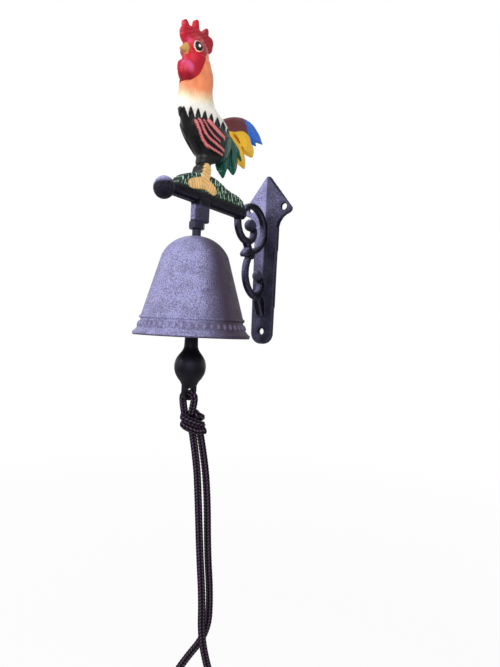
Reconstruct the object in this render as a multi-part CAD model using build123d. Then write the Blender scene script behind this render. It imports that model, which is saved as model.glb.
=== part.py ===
from build123d import *
import math
import os

# Cast iron wall bell with a painted rooster on its arm and a cord on its clapper. Millimetres.
# Origin: midway between the two upper screw holes, on the back face of the wall plate.
# +Z is up, -Y runs out from the wall along the arm, and X = 0 is the casting's mirror plane.

# Wall plate
PLATE_TOP = 36.0
PLATE_BOTTOM = -148.0
PLATE_RIDGE_T = 6.8
PLATE_EDGE_T = 5.0
PLATE_BEVEL = 1.0
HEAD_HALF_W = 31.5
HEAD_CORNER_Z = -3.0
HEAD_TIP_R = 3.0
NECK_HALF_W = 14.8
NECK_Z = -22.0
STRIP_HALF_W = 13.2
SCREW_SPACING = 41.0
SCREW_HOLE_R = 3.5
TOP_MOUTH_R = 6.0
BOTTOM_MOUTH_R = 5.3
BOTTOM_SCREW_Z = -134.5

# Arm, boss and scroll
BELL_Y = -120.0
ARM_Z = -17.5
ARM_SIZE = 10.6
ARM_CHAMFER = 2.8
ARM_INNER_Y = -50.0
KNOB_Y = -164.0
KNOB_Z = -19.2
KNOB_R = 9.6
KNOB_HALF_L = 7.6
BOSS_W = 11.6
BOSS_FRONT_Y = -126.0
BOSS_BACK_Y = -108.5
BOSS_BOTTOM_Z = -39.0
SCROLL_W = 7.0
SCROLL_T = 6.2
SCROLL_CHAMFER = 1.2
RING_CENTRE = (-31.5, -28.2)
RING_R = 23.0
SWEEP_CENTRE = (-15.0, -73.5)
BRANCH_CENTRE = (-38.5, -24.0)
BRANCH_R = 19.0
BALL_R = 6.3

# Rooster: one section of the body is (height, middle y, half length, half width)
LEG_TOP = (12, -114, 7.5, 6.0)
BELLY_LOW = (20, -109.2, 12.6, 9.2)
BELLY = (28, -107, 22.5, 12.0)
BREAST_LOW = (36, -109.8, 29.0, 13.5)
BREAST = (45, -112.5, 32.0, 14.0)
SHOULDER = (54, -118, 29.6, 13.5)
NECK_ROOT = (62, -127.3, 20.6, 12.5)
NECK_LOW = (70, -129.5, 17.1, 11.8)
NECK = (80, -129.9, 16.6, 11.3)
THROAT = (90, -129, 16.0, 10.8)
CHEEK_LOW = (98, -131, 13.6, 10.3)
CHEEK = (106, -133, 13.6, 10.0)
BROW = (113, -133.5, 12.2, 8.4)
SCALP = (119, -133, 9.0, 5.5)
BODY_SECTIONS = [
    LEG_TOP, BELLY_LOW, BELLY, BREAST_LOW, BREAST, SHOULDER, NECK_ROOT,
    NECK_LOW, NECK, THROAT, CHEEK_LOW, CHEEK, BROW, SCALP,
]
CAPE_RAISE = 0.9
WING_RAISE = 1.1
STROKE_RAISE = 2.0
EYE_Y = -140.0
EYE_Z = 106.4
EYE_RING_R = 4.8
PUPIL_R = 3.3
HACKLE_PITCH = 8.2
HACKLE_DEPTH = 6.0
HACKLE_EDGE_Z = 53.0
HACKLE_FRONT_Y = -165.0
HACKLE_POINTS = 9
FEATHER_CROWN = 0.74
FEATHER_EDGE = 0.9

# Bell and what carries it
STUD_R = 4.0
BELL_MOUTH_Z = -142.0
BELL_H = 89.3
MOUTH_R = 52.5
BELL_WALL = 4.2
SHOULDER_R = 30.2
SHOULDER_H = 71.0
CROWN_T = 4.7
CROWN_HOLE_R = 4.3
NUT_FLATS = 13.0
NUT_H = 6.5
WASHER_R = 10.0
WASHER_T = 1.6
STUD_TOP_Z = -26.0
EYE_R = 7.6
EYE_WIRE_R = 2.75

# Link, clapper and cord
SEAT_GAP = 0.2
LINK_WIRE_R = 2.0
LINK_BEND_R = 7.2
LINK_STRAIGHT = 6.5
CLAPPER_EYE_R = 7.0
CLAPPER_WIRE_R = 2.9
NECK_TOP_R = 4.6
NECK_MOUTH_R = 6.3
BULB_R = 14.25
BULB_Z = -169.0
LUG_W = 17.4
LUG_T = 4.0
LUG_HOLE_R = 4.2
LUG_HOLE_Z = -192.5
LUG_BOTTOM_Z = -199.5

# Cord: 7 mm braid, folded through the lug, knotted below it and closed at its lower end
CORD_R = 3.4
FOLD_R = 4.6
FOLD_Z = LUG_HOLE_Z - LUG_HOLE_R + CORD_R + 0.1
KNOT_TOP_Z = -209.0
KNOT_LOW_Z = -229.0
KNOT_DRIFT = 5.1
VIEW_X = math.cos(math.radians(40))
VIEW_Y = math.sin(math.radians(40))
CORD_ROUTE = [
    (3.6, 0.3, -222.0),
    (9.7, 0.2, -252.0),
    (12.9, -0.2, -287.0),
    (16.7, -0.8, -338.0),
    (20.7, -2.2, -378.0),
    (21.2, -4.3, -409.0),
    (27.2, -4.1, -436.0),
    (36.0, -2.0, -460.5),
    (36.6, -0.4, -479.0),
    (24.2, 0.2, -491.7),
    (6.4, 0.6, -491.7),
    (-6.2, 1.4, -479.0),
    (-6.0, 2.8, -460.3),
    (5.0, 4.4, -441.0),
    (27.6, 4.7, -413.0),
    (28.0, 2.6, -378.0),
    (23.8, 1.0, -338.0),
    (21.2, 0.3, -288.0),
    (17.0, 0.2, -252.0),
    (10.4, 0.3, -222.5),
]

# Heights that follow from the ones above
BELL_CROWN_Z = BELL_MOUTH_Z + BELL_H
WASHER_TOP_Z = BELL_CROWN_Z - CROWN_T
CROWN_NUT_TOP_Z = WASHER_TOP_Z - WASHER_T
EYE_Z_CENTRE = CROWN_NUT_TOP_Z - NUT_H - 1.5 - EYE_WIRE_R - EYE_R
EYE_LOW_Z = EYE_Z_CENTRE - EYE_R
LINK_TOP_Z = EYE_LOW_Z + EYE_WIRE_R + LINK_WIRE_R + SEAT_GAP
LINK_LOW_Z = LINK_TOP_Z - 2 * LINK_BEND_R - LINK_STRAIGHT
CLAPPER_TOP_Z = LINK_LOW_Z + LINK_WIRE_R + CLAPPER_WIRE_R + SEAT_GAP
CLAPPER_EYE_Z = CLAPPER_TOP_Z - CLAPPER_EYE_R

MIDDLE = Plane.YZ


def both_sides(sketch, half_width):
    """A (y, z) outline made as thick as two half widths about the mirror plane."""
    return extrude(MIDDLE * sketch, amount=half_width, both=True)


def soften(solid, radius):
    """Rounds the rims of a flat piece that stands on the mirror plane."""
    rims = [face.outer_wire().edges() for face in solid.faces().filter_by(Axis.X)]
    return fillet([edge for rim in rims for edge in rim], radius)


def finger(start, end, start_r, end_r, half_width, edge_r):
    """Tapered finger between two round ends: comb points, toes and leaf tips."""
    ends = (Pos(*start) * Circle(start_r)).edges() + (Pos(*end) * Circle(end_r)).edges()
    return soften(both_sides(make_hull(ends), half_width), edge_r)


def feather(upper, lower, half_width):
    """Feather between two curves that meet at its tip, full at the quill and thin at its edges."""
    root = ((upper[0][0] + lower[-1][0]) / 2, (upper[0][1] + lower[-1][1]) / 2)

    def outline(share, x):
        above = [(root[0] + share * (y - root[0]), root[1] + share * (z - root[1])) for y, z in upper]
        below = [(root[0] + share * (y - root[0]), root[1] + share * (z - root[1])) for y, z in lower]
        rim = Curve() + [Spline(*above), Spline(*below), Line(below[-1], above[0])]
        return MIDDLE.offset(x) * make_face(rim)

    side = loft([outline(1, FEATHER_EDGE), outline(FEATHER_CROWN, half_width)], ruled=True)
    core = extrude(outline(1, 0), amount=FEATHER_EDGE, both=True)
    return core + side + mirror(side, about=MIDDLE)


def tangent_arcs(centre, radius, start_angle, turns):
    """Arcs that follow each other smoothly. Each turn is (radius, degrees), clockwise when negative."""
    arcs = []
    angle = start_angle
    for index, (next_radius, sweep_angle) in enumerate(turns):
        if index:
            same_way = sweep_angle * turns[index - 1][1] > 0
            shift = radius - next_radius if same_way else radius + next_radius
            centre = (
                centre[0] + shift * math.cos(math.radians(angle)),
                centre[1] + shift * math.sin(math.radians(angle)),
            )
            angle = angle if same_way else angle + 180
        radius = next_radius
        arcs.append(CenterArc(centre, radius, angle, sweep_angle))
        angle += sweep_angle
    return arcs


def scroll_bar(arcs):
    """Chamfered cast strip swept along arcs that lie in the mirror plane."""
    path = Wire([MIDDLE * arc for arc in arcs])
    section = chamfer(Rectangle(SCROLL_W, SCROLL_T).vertices(), SCROLL_CHAMFER)
    start = Plane(origin=path @ 0, x_dir=(1, 0, 0), z_dir=path % 0)
    return sweep(start * section, path=path)


def ball(y, z, radius):
    """Ball end of a scroll."""
    return Pos(0, y, z) * Sphere(radius)


def ridge(half_width, low_z, high_z):
    """Roof shape that gives the plate's front its low centre ridge."""
    roof = make_face(
        Polyline((-half_width, 0), (half_width, 0), (half_width, -PLATE_EDGE_T), (0, -PLATE_RIDGE_T),
                 (-half_width, -PLATE_EDGE_T), close=True)
    )
    return extrude(Plane.XY.offset(low_z) * roof, amount=high_z - low_z)


def wall_plate():
    """Arrowhead plate with a tapering strip, a low centre ridge and three screw holes."""
    side = Curve() + [
        Line((0, PLATE_TOP), (HEAD_HALF_W, HEAD_CORNER_Z)),
        Line((HEAD_HALF_W, HEAD_CORNER_Z), (HEAD_HALF_W - 4, HEAD_CORNER_Z - 4)),
        ThreePointArc(
            (HEAD_HALF_W - 4, HEAD_CORNER_Z - 4),
            (NECK_HALF_W + 3.6, HEAD_CORNER_Z - 10),
            (NECK_HALF_W, NECK_Z),
        ),
        Line((NECK_HALF_W, NECK_Z), (STRIP_HALF_W, PLATE_BOTTOM + 11)),
        ThreePointArc(
            (STRIP_HALF_W, PLATE_BOTTOM + 11),
            (STRIP_HALF_W * 0.72, PLATE_BOTTOM + 3.2),
            (0, PLATE_BOTTOM),
        ),
        Line((0, PLATE_BOTTOM), (0, PLATE_TOP)),
    ]
    half = make_face(side)
    outline = half + mirror(half, about=Plane.YZ)
    outline = fillet(outline.vertices().filter_by(lambda point: point.Y > HEAD_CORNER_Z - 1), HEAD_TIP_R)
    blank = extrude(Plane.XZ * outline, amount=PLATE_EDGE_T)
    plate = chamfer(blank.faces().sort_by(Axis.Y)[0].outer_wire().edges(), PLATE_BEVEL)
    panel_h = PLATE_RIDGE_T - PLATE_EDGE_T
    panel = extrude(Plane.XZ.offset(PLATE_EDGE_T) * offset(outline, -PLATE_BEVEL), amount=panel_h)
    plate += panel & (ridge(HEAD_HALF_W, NECK_Z, PLATE_TOP) + ridge(NECK_HALF_W, PLATE_BOTTOM, NECK_Z))
    for x, z, mouth_r in (
        (SCREW_SPACING / 2, 0, TOP_MOUTH_R),
        (-SCREW_SPACING / 2, 0, TOP_MOUTH_R),
        (0, BOTTOM_SCREW_Z, BOTTOM_MOUTH_R),
    ):
        front_y = -PLATE_RIDGE_T + (PLATE_RIDGE_T - PLATE_EDGE_T) * abs(x) / HEAD_HALF_W
        hole_face = Plane(origin=(x, front_y, z), z_dir=(0, -1, 0))
        plate -= hole_face * Cylinder(SCREW_HOLE_R, 30)
        mouth = Cone(SCREW_HOLE_R, mouth_r + 1, mouth_r + 1 - SCREW_HOLE_R)
        plate -= hole_face * Pos(0, 0, 1 - (mouth_r + 1 - SCREW_HOLE_R) / 2) * mouth
    return plate


def scroll():
    """Scroll bracket between arm and plate: ring, S sweep, two ball ends and leaf tips."""
    rise = (SWEEP_CENTRE[0] - RING_CENTRE[0], SWEEP_CENTRE[1] - RING_CENTRE[1])
    meet_angle = math.degrees(math.atan2(rise[1], rise[0]))
    sweep_r = math.hypot(*rise) - RING_R
    main = scroll_bar(tangent_arcs(RING_CENTRE, RING_R, 150, [(RING_R, meet_angle - 150), (sweep_r, 150)]))
    volute = scroll_bar(tangent_arcs(BRANCH_CENTRE, BRANCH_R, 165, [(BRANCH_R, 97), (12, 80), (6.5, 62)]))
    lower_turns = [(sweep_r, 10), (12, 130), (6.5, 60)]
    lower = scroll_bar(tangent_arcs(SWEEP_CENTRE, sweep_r, 225, lower_turns))
    strut = finger((-42, -42), (-31, -57), SCROLL_T / 2, SCROLL_T / 2, SCROLL_W / 2, SCROLL_CHAMFER)
    leaf = finger((-37, -52), (-43.5, -56), 4.2, 3.0, SCROLL_W / 2 + 0.8, 1.5)
    foot = finger((-13, -101), (-9, -116), 5.0, 2.5, SCROLL_W / 2 + 0.8, 1.5)
    solid = main + volute + lower + strut + leaf + foot
    solid += ball(-34.8, -25.4, BALL_R)
    solid += ball(-17.0, -75.5, BALL_R - 0.7)
    return solid


def arm():
    """Chamfered bar with a flattened ball end and the faceted boss that takes the stud."""
    section = chamfer(Rectangle(ARM_SIZE, ARM_SIZE).vertices(), ARM_CHAMFER)
    length = ARM_INNER_Y - KNOB_Y
    bar = extrude(Plane(origin=(0, ARM_INNER_Y, ARM_Z), z_dir=(0, -1, 0)) * section, amount=length)
    knob_profile = make_face(
        Curve()
        + [
            Line((0, -KNOB_HALF_L), (0, KNOB_HALF_L)),
            ThreePointArc((0, KNOB_HALF_L), (KNOB_R, 0), (0, -KNOB_HALF_L)),
        ]
    )
    knob = Plane(origin=(0, KNOB_Y, KNOB_Z), z_dir=(0, -1, 0)) * revolve(Plane.XZ * knob_profile, Axis.Z)
    boss_l = BOSS_BACK_Y - BOSS_FRONT_Y
    outline = Pos(0, (BOSS_FRONT_Y + BOSS_BACK_Y) / 2) * Rectangle(BOSS_W, boss_l)
    corners = outline.vertices().sort_by(Axis.Y)
    outline = chamfer(corners[:2], 3.2)
    outline = chamfer(outline.vertices().sort_by(Axis.Y)[-2:], 1.4)
    boss = extrude(Plane.XY.offset(BOSS_BOTTOM_Z) * outline, amount=ARM_Z - BOSS_BOTTOM_Z)
    boss = chamfer(boss.faces().sort_by(Axis.Z)[0].edges(), 0.7)
    web = Polyline((BOSS_BACK_Y - 1, ARM_Z - 3), (BOSS_BACK_Y - 1, ARM_Z - 9.5), (BOSS_BACK_Y + 4, ARM_Z - 3), close=True)
    return bar + knob + boss + both_sides(make_face(web), ARM_SIZE / 2 - 1.4)


def stud_hole():
    """Tapped hole in the boss, at the stud's own size."""
    depth = STUD_TOP_Z - BOSS_BOTTOM_Z
    return Pos(0, BELL_Y, BOSS_BOTTOM_Z + depth / 2) * Cylinder(STUD_R, depth)


def grass_mound():
    """Low mound along the top of the arm, under the rooster's feet."""
    base_z = ARM_Z + ARM_SIZE / 2 - ARM_CHAMFER
    outline = Curve() + [
        Line((-154, base_z), (-50, base_z)),
        Spline((-50, base_z), (-62, -4.5), (-82, -1.5), (-100, 3.5), (-122, 3), (-140, -1.5), (-154, base_z)),
    ]
    mound = both_sides(make_face(outline), ARM_SIZE / 2 + 0.4)
    return soften(mound, 1.6)


def body_blank(raise_by):
    """Neck, breast and head as one smooth body, or the same body a little larger."""
    sections = [
        Plane(origin=(0, y, z)) * Ellipse(half_width + raise_by, half_length + raise_by)
        for z, y, half_length, half_width in BODY_SECTIONS
    ]
    return loft(sections)


def hackle_cape():
    """Raised neck feathers: their lower edge is a row of points all round the shoulders."""
    points = [(HACKLE_FRONT_Y, 100), (HACKLE_FRONT_Y, HACKLE_EDGE_Z)]
    for index in range(HACKLE_POINTS):
        left = HACKLE_FRONT_Y + index * HACKLE_PITCH
        points.append((left + HACKLE_PITCH / 2, HACKLE_EDGE_Z - HACKLE_DEPTH))
        points.append((left + HACKLE_PITCH, HACKLE_EDGE_Z))
    points.append((HACKLE_FRONT_Y + HACKLE_POINTS * HACKLE_PITCH, 100))
    teeth = both_sides(make_face(Polyline(*points, close=True)), 30)
    return body_blank(CAPE_RAISE) & teeth


def wings():
    """Wing on each side: a raised pad with four long feather ridges that sweep back."""
    pad = make_hull((Pos(-131, 41) * Circle(9)).edges() + (Pos(-104, 31) * Circle(8)).edges())
    relief = body_blank(WING_RAISE) & both_sides(pad, 30)
    strokes = Sketch()
    for start, middle, end, width in (
        ((-139, 43.5), (-125, 28.5), (-103, 24.2), 1.6),
        ((-137, 44.5), (-126, 33.5), (-103, 28.2), 2.4),
        ((-133, 45), (-124, 37.5), (-111, 33.5), 2.2),
        ((-127, 46.5), (-117, 42), (-105, 38.8), 3.4),
    ):
        strokes += trace(ThreePointArc(start, middle, end), width)
    return relief + (body_blank(STROKE_RAISE) & both_sides(strokes, 30))


def head_parts():
    """Comb, wattles, beak and eyes."""
    comb_w = 3.0
    parts = [
        finger((-144.5, 116), (-121, 119.5), 8.0, 8.6, comb_w, 1.4),
        finger((-143.5, 116), (-148.8, 125), 5.0, 1.9, comb_w, 1.4),
        finger((-134.5, 120), (-134.6, 132.2), 4.4, 1.8, comb_w, 1.4),
        finger((-124, 120), (-121.2, 131), 5.0, 2.1, comb_w, 1.4),
        finger((-122, 119), (-116.4, 123), 6.0, 4.8, comb_w, 1.4),
    ]
    wattle = Pos(0, -148, 85) * scale(Sphere(1), by=(5.4, 8.8, 9.8))
    parts += [Pos(2.8, 0, 0) * wattle, Pos(-2.8, 0, 0) * wattle]
    beak_plane = Plane(origin=(0, -144, 104.4), x_dir=(1, 0, 0), z_dir=(0, -1, -0.38))
    beak = extrude(beak_plane * Ellipse(4.6, 4.8), amount=11, taper=22)
    eyes = body_blank(1.2) & (Pos(0, EYE_Y, EYE_Z) * Rot(0, 90, 0) * Cylinder(EYE_RING_R, 40))
    pupils = body_blank(2.0) & (Pos(0, EYE_Y, EYE_Z) * Rot(0, 90, 0) * Cylinder(PUPIL_R, 40))
    return parts + [beak, eyes, pupils]


def tail():
    """Six overlapping tail feathers, the front ones thicker so that each edge shows."""
    return [
        feather([(-96, 60), (-66, 75), (-39, 76.5), (-20, 63)], [(-20, 63), (-50, 60), (-88, 48)], 3.4),
        feather([(-62, 71), (-42, 68), (-31.5, 57.5)], [(-31.5, 57.5), (-47, 57), (-64, 60)], 2.8),
        feather([(-94, 58), (-56, 61), (-36, 51), (-37.5, 44)], [(-37.5, 44), (-43, 43.4), (-55, 49), (-90, 42)], 3.8),
        feather([(-90, 54), (-63, 50), (-50, 36), (-51, 28.5)], [(-51, 28.5), (-56, 29.5), (-64, 38), (-90, 40)], 4.2),
        feather([(-92, 52), (-67, 41), (-65, 23), (-69, 17)], [(-69, 17), (-72.5, 20), (-75, 32), (-93, 36)], 5.0),
        feather([(-96, 46), (-81, 36), (-81.5, 17), (-85, 9.5)], [(-85, 9.5), (-89, 13), (-90, 24), (-98, 34)], 5.4),
    ]


def legs_and_feet():
    """Short leg between belly and mound, with a two-toed foot in relief on each side."""
    leg = Pos(0, -115.5, 5) * Box(10, 12, 24)
    leg = chamfer(leg.edges().filter_by(Axis.Z), 3)
    foot_w = ARM_SIZE / 2 + 1.8
    return [
        leg,
        finger((-117, 8), (-120, -4), 5.0, 5.6, foot_w, 1.2),
        finger((-121, -5), (-137, -9.5), 5.5, 4.0, foot_w, 1.2),
        finger((-118, -5), (-107, -8.5), 5.5, 4.2, foot_w, 1.2),
    ]


def rooster():
    """The whole figure, all of it part of the bracket casting."""
    figure = body_blank(0) + hackle_cape() + wings()
    for piece in head_parts() + tail() + legs_and_feet():
        figure += piece
    return figure


def bracket():
    """Wall plate, scroll, arm, mound and rooster in one casting."""
    casting = wall_plate() + scroll() + arm() + grass_mound() + rooster()
    return casting - stud_hole()


def hex_nut(top_z):
    """M8 nut on the stud, its corners turned off, with its top face at the given height."""
    blank = extrude(RegularPolygon(NUT_FLATS / 2, 6, major_radius=False), amount=NUT_H)
    corner_r = NUT_FLATS / math.sqrt(3)
    turned = Pos(0, 0, NUT_H / 2) * Cylinder(corner_r, NUT_H)
    turned = chamfer(turned.edges().filter_by(GeomType.CIRCLE), 0.9)
    nut = (blank & turned) - Cylinder(STUD_R, 4 * NUT_H)
    return Pos(0, BELL_Y, top_z - NUT_H) * nut


def eye_bolt():
    """Stud that screws up into the boss, with the ring inside the bell that the link hangs from."""
    stud_low_z = EYE_Z_CENTRE + EYE_R - 0.5
    stud_h = STUD_TOP_Z - stud_low_z
    stud = Pos(0, BELL_Y, stud_low_z + stud_h / 2) * Cylinder(STUD_R, stud_h)
    stud = chamfer(stud.edges().filter_by(GeomType.CIRCLE).sort_by(Axis.Z)[-1], 0.8)
    ring = Pos(0, BELL_Y, EYE_Z_CENTRE) * Rot(0, 90, 0) * Torus(EYE_R, EYE_WIRE_R)
    return stud + ring


def crown_washer():
    """Washer between the bell's crown and the nut below it."""
    ring = Cylinder(WASHER_R, WASHER_T) - Cylinder(CROWN_HOLE_R, 2 * WASHER_T)
    return Pos(0, BELL_Y, WASHER_TOP_Z - WASHER_T / 2) * ring


def bell():
    """Cast bell: open mouth with a flared lip, a plain raised band, a straight waist and a domed crown."""
    top = BELL_H
    outer = Curve() + [
        Line((CROWN_HOLE_R, top), (8, top)),
        ThreePointArc((8, top), (19.5, 84.4), (26.8, 77.2)),
        ThreePointArc((26.8, 77.2), (28.8, 74.2), (SHOULDER_R, SHOULDER_H)),
        Line((SHOULDER_R, SHOULDER_H), (45.6, 17.5)),
        ThreePointArc((45.6, 17.5), (47.0, 9.4), (MOUTH_R, 2.6)),
        Line((MOUTH_R, 2.6), (MOUTH_R - 0.4, 0)),
        Line((MOUTH_R - 0.4, 0), (MOUTH_R - 4.2, 0)),
        ThreePointArc((MOUTH_R - 4.2, 0), (45.0, 5), (42.9, 12)),
        Line((42.9, 12), (SHOULDER_R - BELL_WALL, SHOULDER_H - 1.5)),
        ThreePointArc((SHOULDER_R - BELL_WALL, SHOULDER_H - 1.5), (20.6, 78.0), (11.5, top - CROWN_T)),
        Line((11.5, top - CROWN_T), (CROWN_HOLE_R, top - CROWN_T)),
        Line((CROWN_HOLE_R, top - CROWN_T), (CROWN_HOLE_R, top)),
    ]
    wall = revolve(Plane.XZ * make_face(outer), Axis.Z)
    bead = Pos(0, 0, 15.8) * Torus(45.5, 1.1)
    return Pos(0, BELL_Y, BELL_MOUTH_Z) * (wall + bead)


def clapper_link():
    """Closed steel link between the stud's ring and the clapper's ring."""
    top = LINK_STRAIGHT / 2
    path = Wire(
        [
            Line((LINK_BEND_R, -top), (LINK_BEND_R, top)),
            CenterArc((0, top), LINK_BEND_R, 0, 180),
            Line((-LINK_BEND_R, top), (-LINK_BEND_R, -top)),
            CenterArc((0, -top), LINK_BEND_R, 180, 180),
        ]
    )
    path = Plane.XZ * path
    wire = sweep(Plane(origin=path @ 0, z_dir=path % 0) * Circle(LINK_WIRE_R), path=path)
    return Pos(0, BELL_Y, (LINK_TOP_Z + LINK_LOW_Z) / 2) * wire


def clapper():
    """Cast clapper: ring at the top, tapering neck, bulb below the mouth and a flat lug for the cord."""
    ring = Pos(0, BELL_Y, CLAPPER_EYE_Z) * Rot(0, 90, 0) * Torus(CLAPPER_EYE_R, CLAPPER_WIRE_R)
    neck_top = CLAPPER_EYE_Z - CLAPPER_EYE_R
    profile = Curve() + [
        Line((0, neck_top), (NECK_TOP_R - 1, neck_top)),
        ThreePointArc((NECK_TOP_R - 1, neck_top), (NECK_TOP_R, neck_top - 3), (NECK_TOP_R + 0.3, neck_top - 6)),
        Line((NECK_TOP_R + 0.3, neck_top - 6), (NECK_MOUTH_R, BULB_Z + 18.5)),
        Spline(
            (NECK_MOUTH_R, BULB_Z + 18.5),
            (8.4, BULB_Z + 13.2),
            (12.0, BULB_Z + 8.4),
            (BULB_R, BULB_Z),
            (13.0, BULB_Z - 6.6),
            (9.7, BULB_Z - 12),
            (7.0, BULB_Z - 16.8),
            tangents=((0.1, -1), (-0.3, -1)),
        ),
        Line((7.0, BULB_Z - 16.8), (0, BULB_Z - 16.8)),
        Line((0, BULB_Z - 16.8), (0, neck_top)),
    ]
    turned = Pos(0, BELL_Y, 0) * revolve(Plane.XZ * make_face(profile), Axis.Z)
    lug_face = make_hull(
        (Pos(0, LUG_BOTTOM_Z + LUG_W / 2) * Circle(LUG_W / 2)).edges()
        + (Pos(0, BULB_Z - 12) * Rectangle(LUG_W, 2)).edges()
    )
    lug = Pos(0, BELL_Y, 0) * both_sides(lug_face, LUG_T / 2)
    hole = Pos(0, BELL_Y, LUG_HOLE_Z) * Rot(0, 90, 0) * Cylinder(LUG_HOLE_R, 4 * LUG_T)
    return ring + turned + lug - hole


def cord_tube(points, bend_radii):
    """Round cord along straight runs joined by tangent arcs."""
    path = Wire(FilletPolyline(*points, radius=bend_radii).edges())
    return sweep(Plane(origin=path @ 0, z_dir=path % 0) * Circle(CORD_R), path=path)


def bends(points, share=0.45):
    """Largest tangent arc that each inner point leaves room for."""
    radii = []
    for before, here, after in zip(points, points[1:], points[2:]):
        run_in = Vector(*here) - Vector(*before)
        run_out = Vector(*after) - Vector(*here)
        half_turn = math.radians(run_in.get_angle(run_out) / 2)
        radii.append(share * min(run_in.length, run_out.length) / math.tan(half_turn))
    return radii


def cord_eye_loop():
    """The cord's fold through the clapper's lug, from the knot up one side and down the other."""
    side_x = LUG_T / 2 + FOLD_R
    points = [
        (-CORD_R - 0.2, BELL_Y, KNOT_TOP_Z - 3),
        (-side_x, BELL_Y, FOLD_Z - 9),
        (-side_x, BELL_Y, FOLD_Z),
        (side_x, BELL_Y, FOLD_Z),
        (side_x, BELL_Y, FOLD_Z - 9),
        (CORD_R + 0.2, BELL_Y, KNOT_TOP_Z - 3),
    ]
    return cord_tube(points, [8.0, FOLD_R, FOLD_R, 8.0])


def cord_knot():
    """Overhand knot that both strands make together, as the outer shape of its wraps."""
    core_z = (KNOT_TOP_Z + KNOT_LOW_Z) / 2
    height = KNOT_TOP_Z - KNOT_LOW_Z
    core = Cylinder(7.4, height - 2)
    core = fillet(core.edges().filter_by(GeomType.CIRCLE), 3.5)
    upper = Pos(0, 0, 3.2) * Rot(14, 18, 0) * Torus(7.6, CORD_R + 0.4)
    lower = Pos(0, 0, -3.4) * Rot(-10, -14, 0) * Torus(7.2, CORD_R + 0.3)
    tail = Pos(8, 1.5, -3.0) * Rot(0, 100, 0) * Cylinder(CORD_R + 0.4, 11)
    return Pos(KNOT_DRIFT * VIEW_X, BELL_Y + KNOT_DRIFT * VIEW_Y, core_z) * (core + upper + lower + tail)


def route_point(across, deep, z):
    """Point of the cord's route: sideways and depth are measured about the clapper's axis."""
    return (across * VIEW_X - deep * VIEW_Y, BELL_Y + across * VIEW_Y + deep * VIEW_X, z)


def pull_cord():
    """Both strands below the knot and the loop for the hand that joins them."""
    points = [route_point(*point) for point in CORD_ROUTE]
    radii = bends(points)
    tube = cord_tube(points, radii)
    print("cord bend radii", [round(radius) for radius in radii])
    print("cord length", round(tube.volume / (math.pi * CORD_R**2), 1))
    return tube


PIECES = {
    "bracket": bracket,
    "lock_nut": lambda: hex_nut(BOSS_BOTTOM_Z),
    "eye_bolt": eye_bolt,
    "crown_washer": crown_washer,
    "crown_nut": lambda: hex_nut(CROWN_NUT_TOP_Z),
    "bell": bell,
    "clapper_link": clapper_link,
    "clapper": clapper,
    "cord_eye_loop": cord_eye_loop,
    "cord_knot": cord_knot,
    "pull_cord": pull_cord,
}

os.makedirs("parts", exist_ok=True)
for name, make in PIECES.items():
    solid = make()
    solid.label = name
    export_step(solid, f"parts/{name}.step")
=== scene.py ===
import math

import bpy
import numpy as np
from bpy.props import FloatProperty, FloatVectorProperty, IntProperty, PointerProperty
from mathutils import Matrix, Vector


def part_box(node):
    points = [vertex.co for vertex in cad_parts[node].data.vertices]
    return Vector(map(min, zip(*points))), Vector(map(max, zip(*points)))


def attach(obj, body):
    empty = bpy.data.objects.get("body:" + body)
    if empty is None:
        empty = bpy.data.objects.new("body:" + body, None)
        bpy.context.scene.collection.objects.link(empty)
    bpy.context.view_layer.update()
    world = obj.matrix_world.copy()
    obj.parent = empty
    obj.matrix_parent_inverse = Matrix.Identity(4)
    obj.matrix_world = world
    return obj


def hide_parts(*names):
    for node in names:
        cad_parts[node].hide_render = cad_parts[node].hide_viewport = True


bl_info = {
    "name": "Rooster Wall Bell",
    "version": (1, 0, 0),
    "blender": (4, 5, 0),
    "location": "View3D > Sidebar > Wall Bell",
    "description": "Cast surfaces, hand paint and braided cord of a wall bell with a rooster on its arm",
    "category": "Object",
}

MM = 0.001

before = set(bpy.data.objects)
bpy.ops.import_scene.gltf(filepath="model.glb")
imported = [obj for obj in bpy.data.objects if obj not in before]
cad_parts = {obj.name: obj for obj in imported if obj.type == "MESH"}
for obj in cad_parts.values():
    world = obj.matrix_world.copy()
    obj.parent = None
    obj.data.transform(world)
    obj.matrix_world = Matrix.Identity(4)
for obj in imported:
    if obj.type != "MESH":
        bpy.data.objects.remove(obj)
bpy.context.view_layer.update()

# Lengths below are in millimetres unless MM is named with them

# The painted part of the casting stands above this line, from the mound's front end to its back end
PAINT_LINE_Z = -14.0
MOUND_FRONT_Y = -153.8
MOUND_BACK_Y = -51.0
MOUND_MIDDLE_Y = -112.0
MOUND_TOP_Z = 5.2
MOUND_CURVE = 0.0022

# Head
EYE_Y = -140.0
EYE_Z = 106.4
EYE_HALF_WIDTH = 4.1
EYE_HALF_HEIGHT = 4.9
BEAK_HALF_WIDTH = 6.5

# Neck: the colour fades down it, lower on the near side and higher towards the back
NECK_SIDE_SLOPE = 0.395
NECK_BACK_SLOPE = 0.265
NECK_MIDDLE_Y = -130.0
ORANGE_FADE = (67.5, 79)
CREAM_FADE = (62.5, 71)

# Hackle: white feather points that hang over the black breast, which is plain in front
HACKLE_EDGE_Z = 54.0
HACKLE_DEPTH = 8.0
HACKLE_BACK_Y = -84.0
HACKLE_MIDDLE_Y = -124.0
HACKLE_WIDE = 14.0
HACKLE_LONG = 22.0
HACKLE_PITCH = math.radians(20)
HACKLE_START = math.radians(10)
PLAIN_BREAST_TURN = -0.3

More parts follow.
